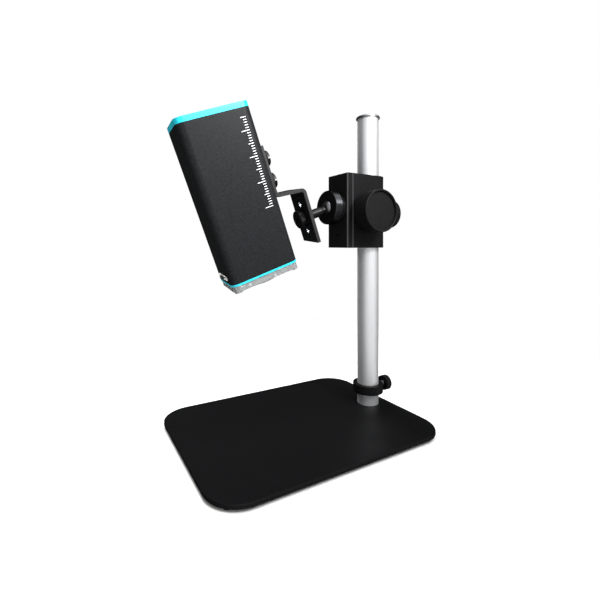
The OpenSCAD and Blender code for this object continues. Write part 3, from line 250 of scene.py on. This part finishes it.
# Zinc plated steel: a cool grey with a turned sheen
steel = metal("zincPlatedSteel", {
    "low": "#7f8184", "high": "#9da0a3", "line": 0.4, "stretch": (1.0, 1.0, 0.3), "depth": 0.003,
    "rough": (0.26, 0.4), "sockets": {"Metallic": 1.0}})
dress(steel, "foot_plug", "post_screw", "lock_screw", "pinion_shaft", "stem_washer")
# Turned aluminium, left bare: a touch darker than the tube, with rings from the lathe
capMetal = metal("turnedAluminium", {
    "low": "#8f9092", "high": "#a9aaac", "line": 0.4, "stretch": (0.3, 0.3, 1.0), "depth": 0.0008,
    "rough": (0.26, 0.36), "sockets": {"Metallic": 1.0}})
cap = {"name": "postCap", "node": "post_cap", "slot": "post_metal", "edge": 0.6}
softened(cap, capMetal)
print("post finished")

# Moulded ABS with a spark-eroded grain: a soft dull black that stays even as the knob turns
knobPlastic = coat("grainedAbs", {
    "low": "#0a0a0b", "high": "#131313", "grit": 0.8, "cloud": 15, "depth": 0.025, "rough": (0.52, 0.64),
    "sockets": {"IOR": 1.53, "Specular IOR Level": 0.09}})
# Injection moulded nylon: smoother and a little glossier than the knobs
thumbPlastic = coat("blackNylon", {
    "low": "#0a0a0b", "high": "#101011", "grit": 1.2, "cloud": 8, "depth": 0.01, "rough": (0.36, 0.46),
    "sockets": {"IOR": 1.53, "Specular IOR Level": 0.12}})
collar = {"name": "stopCollar", "node": "stop_collar", "slot": "block_coat", "edge": 0.6}
softened(collar, thumbPlastic)
collarScrew = {"name": "collarThumbScrew", "node": "collar_thumb_screw", "slot": "thumb_screw", "edge": 0.3}
softened(collarScrew, thumbPlastic)
collarThread = {"name": "collarThread", "node": "collar_thumb_screw", "slot": "steel", "from": 14.3, "to": 19.0,
                "pitch": 0.8, "root": 2.42, "crest": 2.62}
thread(collarThread, Matrix.Translation(joints["collar_screw_turn"]["pos_m"]), steel)
print("collar finished")

# Milled aluminium, blasted and black anodised: a deep charcoal, even, with a faint metallic grain
blockMetal = coat("blackAnodisedAluminium", {
    "low": "#0b0b0c", "high": "#151516", "grit": 0.7, "cloud": 18, "depth": 0.015, "rough": (0.5, 0.6),
    "sockets": {"IOR": 1.5, "Specular IOR Level": 0.06}})
# The same blocks where a cutter broke their edges: a paler colour is painted on the chamfers as a painted
# highlight, with a little more sheen
chamferHighlightPaint = coat("paintedChamferHighlight", {
    "low": "#333335", "high": "#474749", "grit": 0.5, "cloud": 9, "depth": 0.006, "rough": (0.34, 0.44),
    "sockets": {"Metallic": 0.35, "Specular IOR Level": 0.4}})
chamferTilt = (0.6, 0.8)


def isChamfer(face):
    # the upright faces at about 45 degrees on the front corners
    low, high = chamferTilt
    return low < abs(face.normal.x) < high and low < -face.normal.y < high


block = {"name": "focusBlock", "node": "focus_block", "slot": "block_coat", "edge": 0.3}
# the chamfer faces of the block and the slide plate take the paler colour, a painted highlight
softened(block, blockMetal, chamferHighlightPaint, second=isChamfer)
slidePlate = {"name": "slidePlate", "node": "slide_plate", "slot": "block_coat", "edge": 0.3}
softened(slidePlate, blockMetal, chamferHighlightPaint, second=isChamfer)
bushes = {"name": "shaftBushes", "node": "shaft_bushes", "slot": "block_coat", "edge": 0.4}
softened(bushes, blockMetal)
shaftCollar = {"name": "shaftCollar", "node": "shaft_collar", "slot": "block_coat", "edge": 0.3}
softened(shaftCollar, blockMetal)
knob = {"name": "focusKnob", "node": "focus_knob", "slot": "knob_plastic", "edge": 0.6}
softened(knob, knobPlastic)
lockKnob = {"name": "lockKnob", "node": "lock_knob", "slot": "knob_plastic", "edge": 0.14}
softened(lockKnob, knobPlastic)

# Natural nylon: milky white with a waxy sheen
nylon = coat("naturalNylon", {
    "low": "#d6d3c8", "high": "#e3e1d8", "grit": 1.5, "cloud": 9, "depth": 0.01, "rough": (0.4, 0.5),
    "sockets": {"IOR": 1.53, "Subsurface Weight": 0.1, "Subsurface Scale": 0.002}})
dress(nylon, "post_bush", "ball_seat")
# Milled brass: warm yellow with cutter lines across it
brass = metal("milledBrass", {
    "low": "#a88a48", "high": "#c8aa63", "line": 0.5, "stretch": (0.2, 1.0, 1.0), "depth": 0.004,
    "rough": (0.24, 0.38), "sockets": {"Metallic": 1.0}})
dress(brass, "lock_pad", "focus_rack", "gib_strip", "screw_inserts")
# Black oxide on steel: blue-black, oily and half bright
darkSteel = metal("blackOxideSteel", {
    "low": "#1a1a1c", "high": "#29292c", "line": 0.4, "stretch": (1.0, 1.0, 1.0), "depth": 0.003,
    "rough": (0.3, 0.42), "sockets": {"Metallic": 0.8}})
dress(darkSteel, "rack_screw", "gib_screws", "grub_screws", "socket_screw", "cap_screws", "hood_screws")
lockThread = {"name": "lockThread", "node": "lock_screw", "slot": "steel", "from": 14.0, "to": 16.3,
              "pitch": 0.9, "root": 2.9, "crest": 3.08}
thread(lockThread, Matrix.Translation(joints["lock_turn"]["pos_m"]), steel)
print("carriage finished")

# Baked black lacquer on turned steel: mirror-like highlights on a jet ground
lacquer = coat("blackLacquer", {
    "low": "#0b0b0c", "high": "#101011", "grit": 2.5, "cloud": 12, "depth": 0.002, "rough": (0.16, 0.24),
    "sockets": {"IOR": 1.5, "Specular IOR Level": 0.35}})
socket = {"name": "ballSocket", "node": "ball_socket", "slot": "gloss_black", "edge": 0.4}
softened(socket, lacquer)
# Polished bearing steel: bright and clear, with the faintest polishing swirl
dress(metal("polishedSteel", {
    "low": "#747578", "high": "#8b8c8f", "line": 0.5, "stretch": (1.0, 1.0, 1.0), "depth": 0.0008,
    "rough": (0.2, 0.3), "sockets": {"Metallic": 1.0}}), "ball")

# Black nickel over a rolled knurl: each small point catches the light, so the band reads as a grey glitter
nickel = metal("blackNickel", {
    "low": "#2e2e30", "high": "#454648", "line": 0.6, "stretch": (1.0, 1.0, 1.0), "depth": 0.002,
    "rough": (0.18, 0.28), "sockets": {"Metallic": 1.0}})
# Turned steel blackened in oil: a dull neutral black with a soft gleam
turnedBlack = coat("oilBlackedSteel", {
    "low": "#080808", "high": "#0d0d0d", "grit": 0.8, "cloud": 9, "depth": 0.006, "rough": (0.3, 0.4),
    "sockets": {"IOR": 1.5, "Specular IOR Level": 0.12}})
dress(turnedBlack, "ball_stem")
# Lock ring with a knurled band, spun from its section in the ring's own frame
ring = {"name": "knurledRing", "node": "lock_ring", "slot": "gloss_black", "steps": 132, "rows": 8,
        "knurl": 0.16, "front": 4.4, "back": -3.4, "outer": 15.1, "shoulder": 0.6, "mouth": 6.5, "neck": 11.4,
        "web": 2.5, "nickelFrom": 14.4}
bandLow, bandHigh = ring["back"] + ring["shoulder"], ring["front"] - ring["shoulder"]
rowStep = (bandHigh - bandLow) / ring["rows"]
rim = ring["outer"] - ring["shoulder"]
section = [(ring["neck"], -ring["web"]), (ring["neck"], -ring["back"]), (rim, -ring["back"])]
section += [(ring["outer"], -bandLow - rowStep * k) for k in range(ring["rows"] + 1)]
section += [(rim, -ring["front"]), (ring["mouth"], -ring["front"]), (ring["mouth"], -ring["web"])]
ringPlace = Matrix.Translation(joints["ring_turn"]["pos_m"])
bm = spun(section, ring["steps"], ringPlace, ring["knurl"])
for face in bm.faces:
    away = (ringPlace.inverted() @ face.calc_center_median()).xz.length
    face.material_index = 1 if away > ring["nickelFrom"] * mm else 0
ringPiece = newPiece(ring["name"], bm, [turnedBlack, nickel], ring["node"], smooth=False)
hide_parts(ring["node"])
print("ball joint finished")

# Powder coat on a bent strip: dull black on the broad faces
bracketCoat = coat("powderCoatedStrip", {
    "low": "#101011", "high": "#1a1a1b", "grit": 0.8, "cloud": 14, "depth": 0.025, "rough": (0.48, 0.58),
    "sockets": {"IOR": 1.5, "Specular IOR Level": 0.08}})
# The same coat along the sheared edges, painted greyer and a little glossier as a painted highlight where the
# light catches them
shearedEdgeHighlightPaint = coat("paintedEdgeHighlightCoat", {
    "low": "#161617", "high": "#232324", "grit": 0.5, "cloud": 7, "depth": 0.015, "rough": (0.4, 0.5),
    "sockets": {"IOR": 1.5, "Specular IOR Level": 0.25}})
bracket = {"name": "bentBracket", "node": "bracket", "slot": "bracket_coat", "edge": 0.4,
           "holes": (12.25, -12.25), "bore": 2.2, "slack": 0.05, "sideways": 0.9}


def isShearedEdge(face):
    return abs(face.normal.dot(stemX)) > bracket["sideways"]


def isHoleWall(face):
    # bare metal in the two free holes
    at = stemPlace.inverted() @ face.calc_center_median()
    reach = (bracket["bore"] + bracket["slack"]) * mm
    return any(math.hypot(at.x, at.z - hole * mm) < reach for hole in bracket["holes"])


# the sheared edges take the greyer coat, a painted highlight; the walls of the free holes take bare steel
softened(bracket, bracketCoat, shearedEdgeHighlightPaint, steel, second=isShearedEdge, third=isHoleWall)
stemScrew = {"name": "stemScrew", "node": "stem_screw", "slot": "thumb_screw", "edge": 0.5}
softened(stemScrew, turnedBlack)
stemKnurl = {"name": "stemScrewKnurl", "node": "stem_screw", "slot": "thumb_screw", "from": -34.3, "to": -29.3,
             "inner": 7.5, "outer": 8.0, "edge": 0.2, "rows": 6, "steps": 76, "knurl": 0.14}
knurledSleeve(stemKnurl, stemPlace, turnedBlack)
for place, rise in (("Upper", 58.4), ("Lower", 39.5)):
    node = "thumb_screw_" + place.lower()
    thumbScrew = {"name": "thumbScrew" + place, "node": node, "slot": "thumb_screw", "edge": 0.4}
    softened(thumbScrew, turnedBlack)
    thumbKnurl = {"name": "thumbKnurl" + place, "node": node, "slot": "thumb_screw", "from": -50.2, "to": -46.3,
                  "inner": 6.0, "outer": 6.5, "edge": 0.2, "rows": 5, "steps": 62, "knurl": 0.14}
    knurledSleeve(thumbKnurl, stemPlace @ Matrix.Translation((0, 0, rise * mm)), turnedBlack)
print("bracket finished")

# Extruded aluminium, blasted and black anodised: a sparkling fine grain, drawn 1 mm coarse so that it shows
shellMetal = coat("blastedBlackAnodise", {
    "low": "#0f1011", "high": "#1e1f21", "grit": 1.0, "cloud": 30, "depth": 0.03, "rough": (0.4, 0.46),
    "sockets": {"IOR": 1.5, "Specular IOR Level": 0.09}})
shell = {"name": "headShell", "node": "body_shell", "slot": "head_metal", "edge": 0.25}
softened(shell, shellMetal)
# Cyan anodised aluminium: a clean bright turquoise with a satin sheen
cyanMetal = coat("cyanAnodise", {
    "low": "#19aec1", "high": "#2bc2d3", "grit": 1.2, "cloud": 20, "depth": 0.008, "rough": (0.3, 0.38),
    "sockets": {"Metallic": 0.1, "Specular IOR Level": 0.32}})
topCap = {"name": "topCap", "node": "top_cap", "slot": "cyan_metal", "edge": 0.5}
softened(topCap, cyanMetal)
bezel = {"name": "lowerBezel", "node": "lower_bezel", "slot": "cyan_metal", "edge": 0.25}
softened(bezel, cyanMetal)

# Screen printing ink: flat white, slightly raised and a little uneven
ink = coat("whitePrintInk", {
    "low": "#e9eaea", "high": "#f7f7f7", "grit": 0.6, "cloud": 5, "depth": 0.004, "rough": (0.42, 0.55),
    "sockets": {"IOR": 1.5}})
# Tick scale on the head's broad side
scale = {"name": "printedScale", "ticks": 36, "pitch": 2.0, "start": 22, "line": 22.5, "width": 0.45,
         "short": 2.6, "half": 4.2, "long": 6.6, "ink": 0.03, "side": 22.0}
bm = bmesh.new()
for k in range(scale["ticks"]):
    length = scale["long"] if k % 10 == 0 else scale["half"] if k % 5 == 0 else scale["short"]
    middle = Vector((scale["side"], scale["line"] - length / 2, scale["start"] + k * scale["pitch"])) * mm
    size = Matrix.Diagonal((2 * scale["ink"] * mm, length * mm, scale["width"] * mm, 1))
    bmesh.ops.create_cube(bm, size=1, matrix=headPlace @ Matrix.Translation(middle) @ size)
newPiece(scale["name"], bm, [ink], "body_shell", smooth=False)
print("head finished")

# Moulded acrylic with a blasted skin: milky, so it glows light grey and the board behind it is only a shade
acrylicLook = {"colour": "#949696", "flow": 6, "haze": (0.2, 0.3), "ripple": 0.04}
acrylic, tree, shader = newMaterial("frostedAcrylic", {
    "Base Color": linear(acrylicLook["colour"]), "IOR": 1.49, "Transmission Weight": 0.44})
place = addNode(tree, "ShaderNodeTexCoord").outputs["Object"]
flow = addNode(tree, "ShaderNodeTexNoise", {
    "Vector": place, "Scale": 1 / (acrylicLook["flow"] * mm), "Detail": 2.0}).outputs["Fac"]
haze = addNode(tree, "ShaderNodeMapRange", {
    "Value": flow, "To Min": acrylicLook["haze"][0], "To Max": acrylicLook["haze"][1]})
tree.links.new(haze.outputs["Result"], shader.inputs["Roughness"])
ripple = addNode(tree, "ShaderNodeBump", {
    "Height": flow, "Strength": 1.0, "Distance": acrylicLook["ripple"] * mm})
tree.links.new(ripple.outputs["Normal"], shader.inputs["Normal"])
hood = {"name": "clearHood", "node": "clear_hood", "slot": "clear_plastic", "edge": 0.5}
softened(hood, acrylic)
# Coated optical glass: clear, with a violet bloom from its coating
glassLook = {"low": "#d5e2ea", "high": "#e8edf2", "bloom": 8}
glass, tree, shader = newMaterial("coatedGlass", {
    "IOR": 1.52, "Transmission Weight": 1.0, "Roughness": 0.02, "Coat Weight": 0.6,
    "Coat Tint": linear("#9a86c8"), "Coat Roughness": 0.02})
place = addNode(tree, "ShaderNodeTexCoord").outputs["Object"]
bloom = addNode(tree, "ShaderNodeTexNoise", {
    "Vector": place, "Scale": 1 / (glassLook["bloom"] * mm)}).outputs["Fac"]
tint = addNode(tree, "ShaderNodeMix", {
    0: bloom, 6: linear(glassLook["low"]), 7: linear(glassLook["high"])}, data_type="RGBA")
tree.links.new(tint.outputs[2], shader.inputs["Base Color"])
dress(glass, "front_lens", "rear_lens")
# Turned aluminium, black anodised: a dull black that swallows stray light
barrelMetal = coat("turnedBlackAnodise", {
    "low": "#121213", "high": "#1b1b1c", "grit": 0.6, "cloud": 10, "depth": 0.01, "rough": (0.45, 0.55),
    "sockets": {"IOR": 1.5, "Specular IOR Level": 0.3}})
dress(barrelMetal, "lens_barrel")
dress(knobPlastic, "lens_holder")
# White solder mask over fibreglass: satin white, slightly uneven
whiteBoard = coat("whiteSolderMask", {
    "low": "#dededa", "high": "#eeeeea", "grit": 0.8, "cloud": 7, "depth": 0.01, "rough": (0.35, 0.45),
    "sockets": {"IOR": 1.55}})
dress(whiteBoard, "lamp_board")
# Silicone over phosphor: pale yellow and glossy
dress(coat("phosphorSilicone", {
    "low": "#efe6ae", "high": "#f7f0c8", "grit": 0.5, "cloud": 2, "depth": 0.004, "rough": (0.15, 0.25),
    "sockets": {"IOR": 1.41}}), "lamps")
print("lens end finished")

# Green solder mask over fibreglass: glossy dark green with copper tracks showing paler
boardLook = {"track": "#3f8a52", "mask": "#1f5a38", "spacing": 3.2, "edge": (0.05, 0.09), "relief": 0.03}
board, tree, shader = newMaterial("greenSolderMask", {"IOR": 1.55, "Roughness": 0.32})
place = addNode(tree, "ShaderNodeTexCoord").outputs["Object"]
tracks = addNode(tree, "ShaderNodeTexVoronoi", {
    "Vector": place, "Scale": 1 / (boardLook["spacing"] * mm)}, feature="DISTANCE_TO_EDGE")
copper = addNode(tree, "ShaderNodeMapRange", {
    "Value": tracks.outputs["Distance"], "From Min": boardLook["edge"][0],
    "From Max": boardLook["edge"][1]}).outputs["Result"]
mask = addNode(tree, "ShaderNodeMix", {
    0: copper, 6: linear(boardLook["track"]), 7: linear(boardLook["mask"])}, data_type="RGBA")
tree.links.new(mask.outputs[2], shader.inputs["Base Color"])
relief = addNode(tree, "ShaderNodeBump", {
    "Height": copper, "Strength": 1.0, "Distance": boardLook["relief"] * mm}, invert=True)
tree.links.new(relief.outputs["Normal"], shader.inputs["Normal"])
dress(board, "main_board", "sensor_board")
# Moulded epoxy: dull grey-black with a fine sparkle of filler
dress(coat("mouldedEpoxy", {
    "low": "#232324", "high": "#313133", "grit": 0.3, "cloud": 4, "depth": 0.006, "rough": (0.55, 0.65),
    "sockets": {"IOR": 1.55}}), "processor")
# Cover glass over silicon: a dark violet mirror
dress(coat("sensorGlass", {
    "low": "#2f2944", "high": "#463e5c", "grit": 0.4, "cloud": 3, "depth": 0.001, "rough": (0.05, 0.1),
    "sockets": {"IOR": 1.52, "Specular IOR Level": 0.7}}), "image_sensor")
# Polyimide film over copper: a glossy, slightly mottled amber
dress(coat("polyimideFilm", {
    "low": "#b87a1f", "high": "#d89a3c", "grit": 0.6, "cloud": 5, "depth": 0.004, "rough": (0.25, 0.35),
    "sockets": {"IOR": 1.6}}), "ribbon_cable")
# Tin plated steel sheet: bright and slightly wavy
dress(metal("tinPlatedSteel", {
    "low": "#b3b4b6", "high": "#cfd0d2", "line": 0.6, "stretch": (1.0, 1.0, 1.0), "depth": 0.002,
    "rough": (0.18, 0.28), "sockets": {"Metallic": 1.0}}), "usb_socket")
print("electronics finished")

# Moulded white ABS: clean satin white
whiteAbs = coat("whiteAbs", {
    "low": "#ededea", "high": "#f6f6f3", "grit": 0.8, "cloud": 6, "depth": 0.006, "rough": (0.34, 0.42),
    "sockets": {"IOR": 1.53}})
sliderBezel = {"name": "sliderBezel", "node": "slider_bezel", "slot": "white_plastic", "edge": 0.15}
softened(sliderBezel, whiteAbs)
dress(whiteAbs, "slider_unit")
# Moulded dark ABS: charcoal, satin
charcoalAbs = coat("charcoalAbs", {
    "low": "#2b2b2d", "high": "#3a3a3c", "grit": 0.6, "cloud": 5, "depth": 0.006, "rough": (0.4, 0.5),
    "sockets": {"IOR": 1.53}})
slider = {"name": "lampSlider", "node": "lamp_slider", "slot": "grey_plastic", "edge": 0.15}
softened(slider, charcoalAbs)
print("lamp slider finished")

# Studio: a pale floor, a soft pale room and large soft lights
# Matt floor paint: almost white, with a roller's faint stipple
floorPaint = coat("matteFloorPaint", {
    "low": "#efefed", "high": "#f4f4f3", "grit": 6, "cloud": 400, "depth": 0.02, "rough": (0.75, 0.85),
    "sockets": {"IOR": 1.5, "Specular IOR Level": 0.2}})
floorLook = {"radius": 450, "sides": 96}
bm = bmesh.new()
bmesh.ops.create_circle(bm, cap_ends=True, segments=floorLook["sides"], radius=floorLook["radius"] * mm)
floorMesh = bpy.data.meshes.new("studioFloor")
bm.to_mesh(floorMesh)
bm.free()
floorMesh.materials.append(floorPaint)
floor = bpy.data.objects.new("studioFloor", floorMesh)
floor.visible_glossy = False  # keeps the dark undersides dark
scene.collection.objects.link(floor)


def bearingWay(look):
    # bearings are measured from the camera's side, to the right
    angle = math.radians(cameraLook["azimuth"] - 90 + look["bearing"])
    lift = math.radians(look["height"])
    return Vector((math.cos(angle) * math.cos(lift), math.sin(angle) * math.cos(lift), math.sin(lift)))


# the room is a white tent, bright on the camera's side and dim behind; looked at straight, it is plain white
room = {"seen": "#ffffff", "bearing": 20, "height": 18, "dim": 0.04, "bright": 0.95,
        "from": -0.15, "to": 0.85}
world = bpy.data.worlds.new("studioRoom")
world.use_nodes = True
scene.world = world
tree = world.node_tree
wall = tree.nodes["Background"]
outward = addNode(tree, "ShaderNodeTexCoord").outputs["Generated"]
side = addNode(tree, "ShaderNodeVectorMath", {0: outward, 1: bearingWay(room)}, operation="DOT_PRODUCT")
tent = addNode(tree, "ShaderNodeMapRange", {
    "Value": side.outputs["Value"], "From Min": room["from"], "From Max": room["to"],
    "To Min": room["dim"], "To Max": room["bright"]}, interpolation_type="SMOOTHSTEP")
path = addNode(tree, "ShaderNodeLightPath")
straight = addNode(tree, "ShaderNodeMath", {
    0: path.outputs["Is Camera Ray"], 1: path.outputs["Is Transmission Ray"]}, operation="MAXIMUM")
glow = addNode(tree, "ShaderNodeMix", {
    0: straight.outputs["Value"], 2: tent.outputs["Result"], 3: 1.0}, data_type="FLOAT")
wall.inputs["Color"].default_value = linear(room["seen"])
tree.links.new(glow.outputs[0], wall.inputs["Strength"])

# the sun lights the room evenly; the area lights point at the middle of the head and the block
aim = Vector((-10, -50, 250)) * mm
lights = {
    "roomLight": {"kind": "SUN", "bearing": 20, "height": 70, "far": 1500, "strength": 2.2, "spread": 40},
    "keyLight": {"kind": "AREA", "bearing": 44, "height": 28, "far": 480, "strength": 0.88, "spread": 56,
                 "size": (260, 220)},
    "backLight": {"kind": "AREA", "bearing": 205, "height": 30, "far": 800, "strength": 3.5, "spread": 70,
                  "size": (500, 400)},
}
for name, look in lights.items():
    way = bearingWay(look)
    lamp = bpy.data.lights.new(name, look["kind"])
    lamp.energy = look["strength"]
    if look["kind"] == "SUN":
        lamp.angle = math.radians(look["spread"])
    else:
        lamp.shape = "RECTANGLE"
        lamp.size, lamp.size_y = look["size"][0] * mm, look["size"][1] * mm
        lamp.spread = math.radians(look["spread"])
    lampObject = bpy.data.objects.new(name, lamp)
    lampObject.location = aim + way * look["far"] * mm
    lampObject.rotation_euler = way.to_track_quat("Z", "Y").to_euler()
    lampObject.visible_camera = False
    lampObject.visible_glossy = name != "backLight"  # fills the hidden sides without a glare on the plate
    scene.collection.objects.link(lampObject)
scene.view_settings.view_transform = "Standard"
print("studio lit")

bpy.context.view_layer.update()
